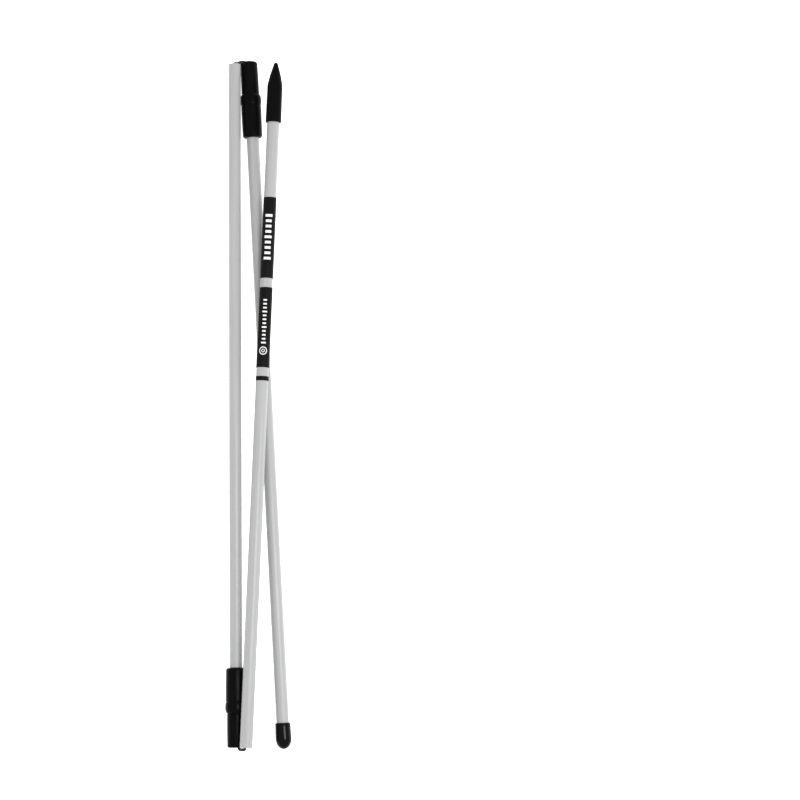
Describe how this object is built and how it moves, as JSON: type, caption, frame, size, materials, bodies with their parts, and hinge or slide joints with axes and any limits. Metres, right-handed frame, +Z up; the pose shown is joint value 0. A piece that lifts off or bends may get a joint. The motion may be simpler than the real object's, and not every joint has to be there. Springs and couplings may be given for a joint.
{
  "type": "alignment stick",
  "caption": "Folding golf alignment stick: fibreglass tube sections joined by plug-in sleeves on an elastic cord, with a ground tip and a round cap, shown folded.",
  "frame": {"origin": "centre of the folded stick's outline, on the surface it lies on", "axes": "+Y along the folded stick, towards the ground tip's point; +Z up from the surface it lies on; +X to the round-capped section's cap side"},
  "size_m": [0.0398, 0.4268, 0.0189],
  "materials": {
    "fibreglass": "gloss pultruded fibreglass",
    "black_moulding": "gloss injection moulding",
    "black_vinyl": "gloss dipped vinyl",
    "black_wrap": "satin printed film",
    "black_cord": "braided polyester over rubber strands",
    "zinc_plate": "zinc plated"
  },
  "bodies": {
    "middle_section": {"middle_tube": "fibreglass", "middle_sleeve": "black_moulding", "middle_cord": "black_cord"},
    "lower_link": {"lower_cord_loop": "black_cord"},
    "point_section": {"point_tube": "fibreglass", "point_tip": "black_moulding", "point_cord": "black_cord", "point_cord_washer": "zinc_plate", "upper_label_band": "black_wrap", "lower_label_band": "black_wrap", "thin_label_band": "black_wrap"},
    "upper_link": {"upper_cord_loop": "black_cord"},
    "round_section": {"round_tube": "fibreglass", "round_sleeve": "black_moulding", "round_cap": "black_vinyl", "round_cord": "black_cord", "round_cord_washer": "zinc_plate"}
  },
  "joints": [
    {"name": "point_fold", "type": "hinge", "parent": "middle_section", "child": "lower_link", "pos_m": [-0.0102, -0.21131, 0.01017], "axis": [0.7704, -0.0141, -0.6374], "range_deg": [0, 178.82], "deforming": ["lower_cord_loop"]},
    {"name": "point_plug", "type": "slide", "parent": "lower_link", "child": "point_section", "axis": [-0.0462, -0.9989, 0], "range_m": [0, 0.0235]},
    {"name": "round_plug", "type": "slide", "parent": "middle_section", "child": "upper_link", "axis": [0, -0.9999, -0.0116], "range_m": [0, 0.0235]},
    {"name": "round_fold", "type": "hinge", "parent": "upper_link", "child": "round_section", "pos_m": [-0.00911, 0.21046, 0.00888], "axis": [0.4619, 0.004, 0.8869], "range_deg": [0, 177.77], "deforming": ["upper_cord_loop"]}
  ]
}
